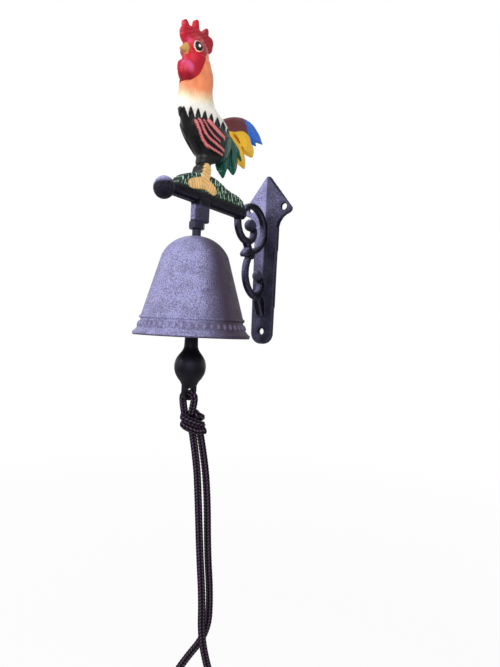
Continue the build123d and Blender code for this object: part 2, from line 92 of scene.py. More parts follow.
# Painted borders on the figure's side, as (y, z)
RED_FACE = [
    (-165, 77), (-152, 75.5), (-145.5, 76), (-141.3, 79.6), (-137.3, 84.8), (-133.5, 93.5),
    (-131.8, 99.4), (-129, 104.5), (-124, 108.5), (-118, 111), (-100, 111), (-100, 145), (-165, 145),
]
BEAK = [
    (-165, 94), (-165, 105.5), (-151, 106.6), (-146.8, 108.4), (-145.6, 104), (-145.2, 100), (-147.5, 97),
]
# Painted highlights on the wattle and on the brow: the centre and reach of each
WATTLE_HIGHLIGHT_CENTRE = (-148, 88)
WATTLE_HIGHLIGHT_REACH = (6.5, 8)
BROW_HIGHLIGHT_CENTRE = (-145.5, 110.5)
BROW_HIGHLIGHT_REACH = (4, 3.5)

# Solid wattles, each as its centre and its half sizes
WATTLE_FILLS = [
    ((0, -146.5, 83.8), (4.6, 6.4, 7.8)),
    ((3.6, -145.4, 84.2), (5.2, 8.0, 9.2)),
    ((-1.5, -144.0, 84), (4.6, 7.4, 8.4)),
]

# Pink strokes on the wing, each with its half width
WING_STROKES = [
    ([(-139.3, 43.5), (-125, 28.5), (-103, 24.2)], 0.9),
    ([(-136, 45), (-125, 34), (-103, 28.2)], 1.2),
    ([(-132, 45.6), (-123, 38), (-111, 33.7)], 0.9),
    ([(-127, 46.8), (-117, 42), (-105, 38.8)], 1.8),
]
WING_SIDE_X = 8
FAR_WING_FRONT_Y = -122
FLANK_GREEN = [
    (-88, 45), (-97, 42.5), (-101, 38.4), (-102.4, 30), (-100.3, 22), (-101.6, 15), (-99, 4), (-88, 4),
]

# Tail feathers from the back one to the front one, each with its upper and lower line
FEATHERS = {
    "sickle": ([(-96, 60), (-66, 75), (-39, 76.5), (-20, 63)], [(-20, 63), (-50, 60), (-88, 48)]),
    "blue": ([(-62, 71), (-42, 68), (-31.5, 57.5)], [(-31.5, 57.5), (-47, 57), (-64, 60)]),
    "yellow_upper": (
        [(-94, 52), (-77, 55.5), (-56, 62), (-36, 51), (-37.5, 44)],
        [(-37.5, 44), (-43, 43.4), (-55, 49), (-90, 42)],
    ),
    "yellow_lower": (
        [(-90, 54), (-63, 50), (-50, 36), (-51, 28.5)],
        [(-51, 28.5), (-56, 29.5), (-64, 38), (-90, 40)],
    ),
    "green_rear": (
        [(-92, 52), (-67, 41), (-65, 23), (-69, 17)],
        [(-69, 17), (-72.5, 20), (-75, 32), (-93, 36)],
    ),
    "green_front": (
        [(-96, 46), (-81, 36), (-81.5, 17), (-85, 9.5)],
        [(-85, 9.5), (-89, 13), (-90, 24), (-98, 34)],
    ),
}
TAIL_FRONT_Y = -103
TAIL_ROOT_Y = -92
TAIL_HALF_WIDTH = 9.5
BLUE_START_Y = -59.7
BLUE_START_Z = 76.6
BLUE_SLOPE = 0.53

# Leg and toes as tapering bars: start, end, and the half width at each
FOOT_BARS = [
    ((-117, 8.3), (-120, -4), 5.0, 5.6),
    ((-121, -5), (-137, -9.5), 5.6, 4.1),
    ((-118, -5), (-107, -8.5), 5.6, 4.3),
]
FOOT_SIDE_X = 4.9
TOE_SCALE = 3.4
LEG_Y = -116
LEG_REACH_Y = 6.5

# How far the carved relief stands out or in
RELIEF = {"barb": 0.16, "pit": 0.45, "flank": 0.7, "quill": 0.16, "scale": 0.7, "blade": 0.5}

# Where the painted sheen, a painted highlight on the black iron, falls
SHEEN_SIDE = np.array((-0.45, -0.6, 0.66))
BELL_SHEEN_SIDE = (-0.83, -0.55, 0)
BOSS_TOP_Z = -25.0
BOSS_REACH_Y = 16
KNOB_BACK_Y = -156.8
SCROLL_FRONT_Y = -50
SCROLL_BACK_Y = -44
PLATE_FRONT_Y = -8

CLAPPER_VOXEL = 0.6 * MM

# Raised band of the bell, above its mouth
OVAL_RISE = 9.6 * MM
OVAL_RING_R = 47.0 * MM
OVAL_HALF_SIZE = (1.5 * MM, 1.8 * MM, 2.9 * MM)
OVAL_TILT = math.radians(22)
BEAD_RISE = 15.8 * MM
BEAD_RING_R = 45.5 * MM
BEAD_R = 1.5 * MM

# Cord: each point's sideways place, depth and height, measured across the view about the clapper's axis
BELL_Y = -120.0
CORD_TURN = math.radians(40)
CORD_END_ROUNDING = 1.6 * MM
STITCH_DEPTH = 0.55 * MM
STITCH_HEIGHT = 0.6 * MM
KNOT_Z = -219.0
KNOT_ACROSS = 5.1
KNOT_R = 8.3
KNOT_STEPS = 15
KNOT_START = math.radians(-56)
KNOT_TURN = math.radians(52)
CORD_ROUTE = [
    (3.6, 0.3, -222.0),
    (9.7, 0.2, -252.0),
    (12.9, -0.2, -287.0),
    (16.7, -0.8, -338.0),
    (20.7, -2.2, -378.0),
    (21.2, -4.3, -409.0),
    (27.2, -4.1, -436.0),
    (36.0, -2.0, -460.5),
    (36.6, -0.4, -479.0),
    (24.2, 0.2, -491.7),
    (6.4, 0.6, -491.7),
    (-6.2, 1.4, -479.0),
    (-6.0, 2.8, -460.3),
    (5.0, 4.4, -441.0),
    (27.6, 4.7, -413.0),
    (28.0, 2.6, -378.0),
    (23.8, 1.0, -338.0),
    (21.2, 0.3, -288.0),
    (17.0, 0.2, -252.0),
    (10.4, 0.3, -222.5),
]

# Fold through the clapper's lug, as x, y and z
EYE_LOOP_ROUTE = [
    (-3.6, BELL_Y, -212.0),
    (-6.6, BELL_Y, -202.2),
    (-6.6, BELL_Y, -193.2),
    (6.6, BELL_Y, -193.2),
    (6.6, BELL_Y, -202.2),
    (3.6, BELL_Y, -212.0),
]

SENSOR_MM = 36
FRAME_HEIGHT_PX = 667

# Lamps: place in metres, power, size in metres and tint
LAMP_TARGET = Vector((0, BELL_Y * MM, -0.04))
LAMPS = [
    ("key_lamp", (-0.8, -1.0, 0.4), 7.0, 0.6, (0.98, 0.97, 1.0)),
    ("front_lamp", (0.75, -1.15, 0.35), 12.0, 0.9, (1.0, 0.99, 0.98)),
    ("back_lamp", (-0.5, 0.5, 0.9), 2.0, 0.8, (1.0, 1.0, 1.0)),
]


def screen(red, green, blue):
    """Linear colour of a screen colour given from 0 to 255."""
    return tuple((part / 255) ** 2.2 for part in (red, green, blue))


def colour_property(name, text, value):
    return FloatVectorProperty(name=name, description=text, default=value, subtype="COLOR", min=0, max=1)


def length_property(name, text, value):
    return FloatProperty(name=name, description=text, default=value, unit="LENGTH", min=0)


def height_property(name, text, value):
    return FloatProperty(name=name, description=text, default=value, unit="LENGTH")


def angle_property(name, text, degrees):
    return FloatProperty(name=name, description=text, default=math.radians(degrees), subtype="ANGLE")


class CastingSettings(bpy.types.PropertyGroup):
    """Bare painted iron of the plate, scroll, arm, bell and clapper."""

    # Colour of the painted sheen, a painted highlight on the bracket's black paint
    iron_sheen: colour_property("Iron sheen", "Painted sheen on the bracket's black paint", screen(172, 170, 220))
    iron_dark: colour_property("Dark iron", "Black paint of the bracket", screen(9, 8, 11))
    # Colour of the painted sheen, a painted highlight on the bell's paint
    bell_sheen: colour_property("Bell sheen", "Painted sheen on the paint of the bell", screen(168, 167, 216))
    bell_dark: colour_property("Dark bell", "Paint of the bell", screen(62, 52, 66))
    grain: length_property("Grain", "Size of one grain of the sand-cast surface", 0.95 * MM)
    casting_voxel: length_property("Casting detail", "Mesh size on plate, scroll and arm", 0.85 * MM)
    figure_voxel: length_property("Figure detail", "Mesh size on the rooster", 0.62 * MM)
    rim_beads: IntProperty(name="Rim beads", description="Ovals round the bell's band", default=48, min=3)


class PaintSettings(bpy.types.PropertyGroup):
    """Hand-painted colours of the rooster and the grass."""

    comb: colour_property("Comb", "Comb and face", screen(196, 28, 50))
    # Dark red of the comb's pits, also used as painted shade on the back of the head and under the wattles
    comb_pits_and_shade: colour_property("Comb pits and shade", "Pits and folds of the comb, and painted shade", screen(132, 14, 36))
    # Colour of the painted highlight on the wattles and the brow
    wattle: colour_property("Wattle highlight", "Highlight on the wattles and the brow", screen(236, 92, 140))
    orange: colour_property("Neck orange", "Upper neck", screen(250, 146, 100))
    cream: colour_property("Neck cream", "Where the orange fades out", screen(253, 226, 182))
    white: colour_property("Hackle white", "Lower hackle feathers", screen(249, 246, 238))
    black: colour_property("Body black", "Breast, belly and wing", screen(16, 14, 18))
    pink: colour_property("Wing pink", "Strokes on the wing", screen(236, 128, 132))
    maroon: colour_property("Tail maroon", "Root of the sickle feather", screen(98, 34, 42))
    blue: colour_property("Tail blue", "Tip of the sickle feather", screen(10, 108, 226))
    yellow: colour_property("Tail yellow", "Middle tail feathers", screen(255, 200, 50))
    green: colour_property("Tail green", "Front tail feathers", screen(12, 84, 70))
    foot: colour_property("Foot", "Leg and toes", screen(254, 204, 132))
    beak: colour_property("Beak", "Beak", screen(202, 156, 92))
    grass_dark: colour_property("Grass shade", "Ground between the blades", screen(8, 40, 32))
    grass_pale: colour_property("Grass blade", "Brush strokes on the blades", screen(196, 236, 210))


class CordSettings(bpy.types.PropertyGroup):
    """Braided cord."""

    diameter: length_property("Diameter", "Diameter of the cord", 6.8 * MM)
    stitch: length_property("Stitch", "Length of one stitch of the braid", 2.9 * MM)
    columns: IntProperty(name="Columns", description="Stitch columns round the cord", default=6, min=4)
    # yarn_dark is the yarn's own colour and painted shade between stitches; the next colour is a painted
    # highlight on stitch tops
    yarn_dark: colour_property("Yarn shade", "Between the stitches", screen(3, 3, 4))
    yarn_highlight: colour_property("Yarn", "Painted highlight on the top of a stitch", screen(112, 92, 118))


class StageSettings(bpy.types.PropertyGroup):
    """Camera and light."""

    focal_px: FloatProperty(name="Focal length", description="In pixels of a frame 667 high", default=511.1)
    distance: length_property("Distance", "From the bell's axis to the camera", 462.7 * MM)
    turn: angle_property("Turn", "Way round the object", 40.17)
    heading: angle_property("Heading", "Way the camera looks", 33.67)
    pitch: angle_property("Pitch", "Up from level", -0.40)
    roll: angle_property("Roll", "Tilt of the frame", 2.80)
    height: height_property("Height", "Height of the camera", -133.5 * MM)
    floor: height_property("Floor", "Height of the floor", -620 * MM)


SETTINGS = {
    "wall_bell_casting": CastingSettings,
    "wall_bell_paint": PaintSettings,
    "wall_bell_cord": CordSettings,
    "wall_bell_stage": StageSettings,
}


# Small modelling helpers

def select_only(piece):
    bpy.ops.object.select_all(action="DESELECT")
    piece.select_set(True)
    bpy.context.view_layer.objects.active = piece


def apply_modifier(piece, kind, **values):
    """Adds a modifier with these values and applies it."""
    select_only(piece)
    modifier = piece.modifiers.new(kind.title(), kind)
    for key, value in values.items():
        setattr(modifier, key, value)
    bpy.ops.object.modifier_apply(modifier=modifier.name)


def welded_copy(node, name):
    """A copy of a CAD node with its loose triangles joined."""
    piece = bpy.data.objects.new(name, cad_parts[node].data.copy())
    bpy.context.scene.collection.objects.link(piece)
    select_only(piece)
    bpy.ops.object.mode_set(mode="EDIT")
    bpy.ops.mesh.select_all(action="SELECT")
    bpy.ops.mesh.remove_doubles(threshold=0.00001)
    bpy.ops.object.mode_set(mode="OBJECT")
    return piece


def figure_region(margin):
    """Cutting block of the painted part: the mound along the arm and everything that stands on it."""
    front, back, low = MOUND_FRONT_Y + margin, MOUND_BACK_Y - margin, PAINT_LINE_Z - 0.4 - margin
    outline = [
        (front, low), (back, low), (back, 5), (-13, 5), (-13, 160), (-180, 160), (-180, 5), (front, 5),
    ]
    mesh = bpy.data.meshes.new("figure_region")
    mesh.from_pydata([(0.04, y * MM, z * MM) for y, z in outline], [], [range(len(outline))])
    region = bpy.data.objects.new("figure_region", mesh)
    bpy.context.scene.collection.objects.link(region)
    apply_modifier(region, "SOLIDIFY", thickness=0.08, offset=-1)
    return region


def soft_cast(piece, voxel, smoothing):
    """Turns crisp CAD edges into the rounded edges of a sand casting."""
    apply_modifier(piece, "REMESH", mode="VOXEL", voxel_size=voxel)
    apply_modifier(piece, "SMOOTH", factor=0.5, iterations=smoothing)


def dress(piece, body, material):
    """Gives a new piece its body and its material."""
    piece.data.materials.clear()
    piece.data.materials.append(material)
    select_only(piece)
    bpy.ops.object.shade_smooth()
    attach(piece, body)


def repaint(node, material):
    """Gives a CAD node its material."""
    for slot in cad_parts[node].material_slots:
        slot.material = material


def read_points(mesh):
    """Vertex places in millimetres and vertex normals."""
    places = np.zeros(len(mesh.vertices) * 3)
    normals = np.zeros(len(mesh.vertices) * 3)
    mesh.vertices.foreach_get("co", places)
    mesh.vertices.foreach_get("normal", normals)
    return places.reshape(-1, 3) / MM, normals.reshape(-1, 3)


def write_points(mesh, places):
    mesh.vertices.foreach_set("co", (places * MM).ravel())
    mesh.update()


def write_mask(mesh, name, values):
    attribute = mesh.attributes.new(name, "FLOAT", "POINT")
    attribute.data.foreach_set("value", values.astype(np.float32))


def write_colour(mesh, name, colours):
    attribute = mesh.color_attributes.new(name, "FLOAT_COLOR", "POINT")
    full = np.ones((len(colours), 4), np.float32)
    full[:, :3] = colours
    attribute.data.foreach_set("color", full.ravel())


def ramp(value, low, high):
    """Smooth step from 0 at low to 1 at high."""
    share = np.clip((value - low) / (high - low), 0, 1)
    return share * share * (3 - 2 * share)


def curved(points, steps=10):
    """Smooth line through the points."""
    corners = np.array([points[0]] + list(points) + [points[-1]], float)
    line = []
    for before, start, end, after in zip(corners, corners[1:], corners[2:], corners[3:]):
        run = end - before
        bend = 2 * before - 5 * start + 4 * end - after
        twist = 3 * start - before - 3 * end + after
        for share in np.arange(steps) / steps:
            line.append(0.5 * (2 * start + run * share + bend * share**2 + twist * share**3))
    line.append(corners[-1])
    return np.array(line)


def inside(points, y, z):
    """Which places lie inside a closed outline."""
    result = np.zeros(len(y), bool)
    for (y1, z1), (y2, z2) in zip(points, np.roll(points, -1, axis=0)):
        crosses = (z1 > z) != (z2 > z)
        where = y1 + (z - z1) / (z2 - z1 if z2 != z1 else 1) * (y2 - y1)
        result ^= crosses & (y < where)
    return result


def distance_to(line, y, z):
    """Distance from each place to a line of points."""
    best = np.full(len(y), np.inf)
    for (y1, z1), (y2, z2) in zip(line, line[1:]):
        run_y, run_z = y2 - y1, z2 - z1
        share = np.clip(((y - y1) * run_y + (z - z1) * run_z) / (run_y**2 + run_z**2), 0, 1)
        best = np.minimum(best, np.hypot(y - y1 - share * run_y, z - z1 - share * run_z))
    return best


def bar_depth(bar, y, z):
    """How far inside a tapering round-ended bar each place lies, and how far along it."""
    (y1, z1), (y2, z2), start_r, end_r = bar
    run_y, run_z = y2 - y1, z2 - z1
    share = np.clip(((y - y1) * run_y + (z - z1) * run_z) / (run_y**2 + run_z**2), 0, 1)
    gap = np.hypot(y - y1 - share * run_y, z - z1 - share * run_z)
    along = ((y - y1) * run_y + (z - z1) * run_z) / math.hypot(run_y, run_z)
    return start_r + share * (end_r - start_r) - gap, along


# Materials

def new_material(name):
    material = bpy.data.materials.new(name)
    material.use_nodes = True
    tree = material.node_tree
    return material, tree.nodes, tree.links, tree.nodes["Principled BSDF"]


def add_node(nodes, kind, **values):
    """A new node with these settings and input values."""
    node = nodes.new(kind)
    for key, value in values.items():
        if key in node.bl_rna.properties:
            setattr(node, key, value)
        else:
            node.inputs[key.replace("_", " ")].default_value = value
    return node


def new_group(name, inputs, outputs):
    group = bpy.data.node_groups.new(name, "ShaderNodeTree")
    for socket, kind, value in inputs:
        made = group.interface.new_socket(socket, in_out="INPUT", socket_type=kind)
        made.default_value = value
    for socket, kind in outputs:
        group.interface.new_socket(socket, in_out="OUTPUT", socket_type=kind)
    return group, group.nodes.new("NodeGroupInput"), group.nodes.new("NodeGroupOutput")


def math_node(nodes, links, operation, *values):
    """Output of a sum whose values are each a number or a socket."""
    node = nodes.new("ShaderNodeMath")
    node.operation = operation
    for socket, value in zip(node.inputs, values):
        if hasattr(value, "links"):
            links.new(value, socket)
        else:
            socket.default_value = value
    return node.outputs[0]


def blend(nodes, links, share, first, second):
    """Mixes two colours, each given as a colour or as a socket."""
    mix = add_node(nodes, "ShaderNodeMix", data_type="RGBA")
    for socket, colour in ((mix.inputs["A"], first), (mix.inputs["B"], second)):
        if hasattr(colour, "links"):
            links.new(colour, socket)
        else:
            socket.default_value = (*colour, 1)
    links.new(share, mix.inputs["Factor"])
    return mix.outputs["Result"]


def roughen(nodes, links, shader, surface, mask, dull_range, strength, relief):
    """Lets the grain vary the gloss, and raises it as relief."""
    gloss = add_node(nodes, "ShaderNodeMapRange", To_Min=dull_range[0], To_Max=dull_range[1])
    links.new(surface.outputs[mask], gloss.inputs["Value"])
    links.new(gloss.outputs["Result"], shader.inputs["Roughness"])
    bump = add_node(nodes, "ShaderNodeBump", Strength=strength, Distance=relief)
    links.new(surface.outputs["Height"], bump.inputs["Height"])
    links.new(bump.outputs["Normal"], shader.inputs["Normal"])


def grain_group():
    """Sand-cast grain: fine speckle, broad mottling and a height for the bump."""
    group, source, result = new_group(
        "Cast grain",
        [("Grain", "NodeSocketFloat", 1.9 * MM), ("Mottle", "NodeSocketFloat", 14 * MM)],
        [("Speckle", "NodeSocketFloat"), ("Patches", "NodeSocketFloat"), ("Height", "NodeSocketFloat")],
    )
    nodes, links = group.nodes, group.links
    place = nodes.new("ShaderNodeTexCoord").outputs["Object"]
    fine_scale = math_node(nodes, links, "DIVIDE", 1.0, source.outputs["Grain"])
    broad_scale = math_node(nodes, links, "DIVIDE", 1.0, source.outputs["Mottle"])
    fine = add_node(nodes, "ShaderNodeTexNoise", Detail=5.0, Roughness=0.62)
    broad = add_node(nodes, "ShaderNodeTexNoise", Detail=3.0, Roughness=0.55)
    pits = add_node(nodes, "ShaderNodeTexVoronoi", feature="SMOOTH_F1", Smoothness=0.6)
    for texture, scale in ((fine, fine_scale), (broad, broad_scale), (pits, fine_scale)):
        links.new(place, texture.inputs["Vector"])
        links.new(scale, texture.inputs["Scale"])
    spread = add_node(nodes, "ShaderNodeMapRange", From_Min=0.4, From_Max=0.62)
    links.new(fine.outputs["Fac"], spread.inputs["Value"])
    patches = add_node(nodes, "ShaderNodeMapRange", From_Min=0.35, From_Max=0.65)
    links.new(broad.outputs["Fac"], patches.inputs["Value"])
    rough = math_node(nodes, links, "MULTIPLY", pits.outputs["Distance"], 0.55)
    height = math_node(nodes, links, "ADD", rough, fine.outputs["Fac"])
    links.new(spread.outputs["Result"], result.inputs["Speckle"])
    links.new(patches.outputs["Result"], result.inputs["Patches"])
    links.new(height, result.inputs["Height"])
    return group


def bell_painted_sheen(nodes, links):
    """Share of painted sheen round the bell: a painted highlight full on one side, painted shade opposite,
    and less on the band and the lip.
    """
    place = nodes.new("ShaderNodeTexCoord").outputs["Object"]
    level = add_node(nodes, "ShaderNodeVectorMath", operation="MULTIPLY_ADD")
    level.inputs[1].default_value = (1, 1, 0)
    level.inputs[2].default_value = (0, -BELL_Y * MM, 0)
    links.new(place, level.inputs[0])
    outward = add_node(nodes, "ShaderNodeVectorMath", operation="NORMALIZE")
    links.new(level.outputs[0], outward.inputs[0])
    toward = add_node(nodes, "ShaderNodeVectorMath", operation="DOT_PRODUCT")
    toward.inputs[1].default_value = BELL_SHEEN_SIDE
    links.new(outward.outputs[0], toward.inputs[0])
    # Painted highlight on the side toward the light, painted shade on the far side
    share = add_node(nodes, "ShaderNodeMapRange", From_Min=-0.76, From_Max=-0.12)
    share.interpolation_type = "SMOOTHSTEP"
    links.new(toward.outputs["Value"], share.inputs["Value"])
    parts = nodes.new("ShaderNodeSeparateXYZ")
    links.new(place, parts.inputs[0])
    rise = math_node(nodes, links, "SUBTRACT", parts.outputs["Z"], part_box("bell")[0].z)
    from_ovals = math_node(nodes, links, "SUBTRACT", rise, OVAL_RISE)
    band = add_node(nodes, "ShaderNodeMapRange", From_Min=2.6 * MM, From_Max=4.4 * MM, To_Min=0.66)
    links.new(math_node(nodes, links, "ABSOLUTE", from_ovals), band.inputs["Value"])
    lip = add_node(nodes, "ShaderNodeMapRange", From_Min=0.7 * MM, From_Max=1.7 * MM, To_Min=0.1)
    links.new(rise, lip.inputs["Value"])
    covered = math_node(nodes, links, "MULTIPLY", share.outputs["Result"], band.outputs["Result"])
    return math_node(nodes, links, "MULTIPLY", covered, lip.outputs["Result"])


def iron_material(name, group, colours, grain, relief, roughness, specular, sheen_and_wear=None):
    """Black paint over rough iron, with a painted sheen (a painted highlight) that speckles the high grains.

    The sheen's share is a number, a function that builds it, or the mesh's own mask of painted sheen and
    rubbed wear where none is given.
    """
    _, nodes, links, shader = new_material(name)
    surface = add_node(nodes, "ShaderNodeGroup", node_tree=group, Grain=grain)
    if sheen_and_wear is None:
        sheen_and_wear = add_node(nodes, "ShaderNodeAttribute", attribute_name="sheen_and_wear").outputs["Fac"]
    elif callable(sheen_and_wear):
        sheen_and_wear = sheen_and_wear(nodes, links)
    speckle = surface.outputs["Speckle"]
    # The pale colour is painted sheen, a painted highlight speckled over the high grains
    grains = math_node(nodes, links, "MULTIPLY_ADD", speckle, 0.9, 0.26)
    patchy = math_node(nodes, links, "MULTIPLY_ADD", surface.outputs["Patches"], 0.6, 0.7)
    cover = math_node(nodes, links, "MULTIPLY", grains, patchy)
    cover = math_node(nodes, links, "MULTIPLY", cover, sheen_and_wear)
    total = math_node(nodes, links, "MULTIPLY_ADD", speckle, 0.016, cover)
    links.new(blend(nodes, links, total, *colours), shader.inputs["Base Color"])
    roughen(nodes, links, shader, surface, "Patches", (roughness - 0.08, roughness + 0.14), 0.75, relief)
    shader.inputs["Specular IOR Level"].default_value = specular
    shader.inputs["Specular Tint"].default_value = (0.74, 0.7, 1.0, 1)


def painted_material(group):
    """Enamel put on by brush: thin at the high spots, glossy, with the eye as clean rings."""
    _, nodes, links, shader = new_material("Brushed enamel")
    paint = add_node(nodes, "ShaderNodeAttribute", attribute_name="paint")
    surface = add_node(nodes, "ShaderNodeGroup", node_tree=group, Grain=2.6 * MM, Mottle=9 * MM)
    tone = add_node(nodes, "ShaderNodeMapRange", To_Min=0.86, To_Max=1.1)
    links.new(surface.outputs["Patches"], tone.inputs["Value"])
    shaded = add_node(nodes, "ShaderNodeVectorMath", operation="SCALE")
    links.new(paint.outputs["Color"], shaded.inputs[0])
    links.new(tone.outputs["Result"], shaded.inputs["Scale"])
    place = nodes.new("ShaderNodeTexCoord")
    parts = nodes.new("ShaderNodeSeparateXYZ")
    links.new(place.outputs["Object"], parts.inputs[0])
    across = math_node(nodes, links, "SUBTRACT", parts.outputs["Y"], EYE_Y * MM)
    across = math_node(nodes, links, "DIVIDE", across, EYE_HALF_WIDTH * MM)
    upward = math_node(nodes, links, "SUBTRACT", parts.outputs["Z"], EYE_Z * MM)
    upward = math_node(nodes, links, "DIVIDE", upward, EYE_HALF_HEIGHT * MM)
    joined = nodes.new("ShaderNodeCombineXYZ")
    links.new(across, joined.inputs[0])
    links.new(upward, joined.inputs[1])
    reach = add_node(nodes, "ShaderNodeVectorMath", operation="LENGTH")
    links.new(joined.outputs[0], reach.inputs[0])
    rings = nodes.new("ShaderNodeValToRGB")
    rings.color_ramp.interpolation = "CONSTANT"
    stops = [(0.0, (0.95, 0.95, 0.93)), (0.27, (0.004, 0.004, 0.005)), (0.84, screen(255, 214, 176))]
    rings.color_ramp.elements.new(0.5)
    for stop, (share, colour) in zip(rings.color_ramp.elements, stops):
        stop.position = share
        stop.color = (*colour, 1)
    links.new(reach.outputs["Value"], rings.inputs["Fac"])
    is_eye = math_node(nodes, links, "LESS_THAN", reach.outputs["Value"], 1.0)
    colour = blend(nodes, links, is_eye, shaded.outputs[0], rings.outputs["Color"])
    links.new(colour, shader.inputs["Base Color"])
    shader.inputs["Specular IOR Level"].default_value = 0.25
    roughen(nodes, links, shader, surface, "Patches", (0.3, 0.5), 0.4, 0.25 * MM)


def steel_material(group):
    """Zinc plated steel, a little stained."""
    _, nodes, links, shader = new_material("Plated steel")
    surface = add_node(nodes, "ShaderNodeGroup", node_tree=group, Grain=0.9 * MM, Mottle=6 * MM)
    plating = blend(nodes, links, surface.outputs["Patches"], screen(150, 148, 146), screen(190, 188, 184))
    links.new(plating, shader.inputs["Base Color"])
    shader.inputs["Metallic"].default_value = 1.0
    roughen(nodes, links, shader, surface, "Speckle", (0.3, 0.46), 0.2, 0.05 * MM)


def cord_material(settings):
    """Braided polyester: painted shade between the stitches and a painted highlight on each stitch's top,
    broken up by fine filaments.
    """
    _, nodes, links, shader = new_material("Braided cord")
    crown = add_node(nodes, "ShaderNodeAttribute", attribute_name="stitch_crown")
    place = nodes.new("ShaderNodeTexCoord").outputs["UV"]
    strands = add_node(nodes, "ShaderNodeTexNoise", Scale=1400.0, Detail=2.0)
    links.new(place, strands.inputs["Vector"])
    sparkle = math_node(nodes, links, "MULTIPLY", strands.outputs["Fac"], 1.5)
    # Painted highlight on each stitch's top, painted shade between
    level = math_node(nodes, links, "POWER", crown.outputs["Fac"], 4.4)
    level = math_node(nodes, links, "MULTIPLY", level, sparkle)
    colour = blend(nodes, links, level, settings.yarn_dark, settings.yarn_highlight)
    links.new(colour, shader.inputs["Base Color"])
    shader.inputs["Roughness"].default_value = 0.6
    shader.inputs["Specular IOR Level"].default_value = 0.06
    bump = add_node(nodes, "ShaderNodeBump", Strength=0.5, Distance=0.08 * MM)
    links.new(strands.outputs["Fac"], bump.inputs["Height"])
    links.new(bump.outputs["Normal"], shader.inputs["Normal"])


def material_named(name):
    return bpy.data.materials[name]


# The figure's relief and paint

def hackle_mask(side, y, z):
    """White feather points over the breast, round the body."""
    round_body = np.arctan2(side / HACKLE_WIDE, (HACKLE_MIDDLE_Y - y) / HACKLE_LONG)
    phase = (round_body - HACKLE_START) / HACKLE_PITCH
    tooth = 1 - np.abs(2 * (phase - np.floor(phase)) - 1)
    past_breast = ramp(np.abs(round_body - PLAIN_BREAST_TURN), 0.3, 0.5)
    edge = HACKLE_EDGE_Z - HACKLE_DEPTH * past_breast * tooth**1.5
    return ramp(z - edge, -0.35, 0.35) * (y < HACKLE_BACK_Y)


def wing_mask(side, y, z):
    """Ragged brush strokes on the wing."""
    ragged = 0.45 * np.sin(2.9 * y + 1.7 * z) * np.sin(3.3 * z - 0.9 * y)
    wing = np.zeros(len(y))
    for points, half_width in WING_STROKES:
        gap = distance_to(curved(points), y, z) + ragged
        wing = np.maximum(wing, ramp(-gap, -half_width - 0.2, -half_width + 0.2))
    return wing * (np.abs(side) > WING_SIDE_X) * ((side > 0) | (y > FAR_WING_FRONT_Y))


def feather_masks(x, y, z):
    """Each tail feather, where what lies between two of them goes to the nearer one."""
    depths = {}
    for name, (upper, lower) in FEATHERS.items():
        outline = np.concatenate([curved(upper), curved(lower)[1:], [upper[0]]])
        gap = distance_to(outline, y, z)
        depths[name] = np.where(inside(outline, y, z), gap, -gap)
    deepest = np.max(list(depths.values()), axis=0)
    in_tail = (y > TAIL_FRONT_Y) * (x < TAIL_HALF_WIDTH)
    masks = {}
    for name, depth in depths.items():
        nearest = (depth == deepest) & (y > TAIL_ROOT_Y)
        masks[name] = np.maximum(nearest, ramp(depth, -0.9, -0.4)) * in_tail
    return masks


def foot_masks(side, y, z):
    """Leg and toes, and the scales along them."""
    foot = np.zeros(len(y))
    scales = np.zeros(len(y))
    for bar in FOOT_BARS:
        depth, along = bar_depth(bar, y, z)
        hit = ramp(depth, -0.4, 0.1) * (np.abs(side) > FOOT_SIDE_X) * ((side > 0) | (z < 2))
        scales = np.where(hit > foot, np.abs(np.sin(along * math.pi / TOE_SCALE)) ** 0.7, scales)
        foot = np.maximum(foot, hit)
    return foot, scales * foot


def figure_masks(places):
    """Where each painted part of the figure lies, from 0 to 1."""
    side, y, z = places.T
    x = np.abs(side)
    masks = feather_masks(x, y, z)
    masks["hackle"] = hackle_mask(side, y, z)
    masks["wing"] = wing_mask(side, y, z)
    masks["foot"], masks["scales"] = foot_masks(side, y, z)
    masks["flank"] = inside(FLANK_GREEN, y, z) * ramp(x, 5, 6)
    fade = z + NECK_SIDE_SLOPE * side - NECK_BACK_SLOPE * (y - NECK_MIDDLE_Y)
    masks["orange"] = ramp(fade, *ORANGE_FADE)
    masks["cream"] = ramp(fade, *CREAM_FADE)
    masks["red"] = inside(curved(RED_FACE + RED_FACE[:1]), y, z) * 1.0
    masks["beak"] = inside(BEAK, y, z) * (x < BEAK_HALF_WIDTH)
    wattle = np.hypot((y - WATTLE_HIGHLIGHT_CENTRE[0]) / WATTLE_HIGHLIGHT_REACH[0], (z - WATTLE_HIGHLIGHT_CENTRE[1]) / WATTLE_HIGHLIGHT_REACH[1])
    brow = np.hypot((y - BROW_HIGHLIGHT_CENTRE[0]) / BROW_HIGHLIGHT_REACH[0], (z - BROW_HIGHLIGHT_CENTRE[1]) / BROW_HIGHLIGHT_REACH[1])
    # Painted highlight on the wattle and, weaker, on the brow
    masks["wattle"] = np.maximum(ramp(-wattle, -1.1, -0.3), 0.6 * ramp(-brow, -1.2, -0.2))
    speckled = np.maximum(0, np.sin(1.5 * y + 0.6 * np.sin(0.5 * z)) * np.sin(1.6 * z + 0.4 * y)) ** 1.5
    masks["pits"] = masks["red"] * ramp(z, 109, 114) * speckled
    lean = 0.45 * np.sign(y - LEG_Y)
    bend = 0.03 * (z - PAINT_LINE_Z) ** 2
    masks["blade"] = np.sin((y + lean * z - bend * lean) * 2.0 + 0.8 * np.sin(0.7 * y))
    ground = MOUND_TOP_Z - MOUND_CURVE * (y - MOUND_MIDDLE_Y) ** 2
    top = np.where(np.abs(y - LEG_Y) < LEG_REACH_Y, -1, ground + 1)
    masks["grass"] = (z < top) * (z > PAINT_LINE_Z) * (1 - masks["foot"])
    return masks


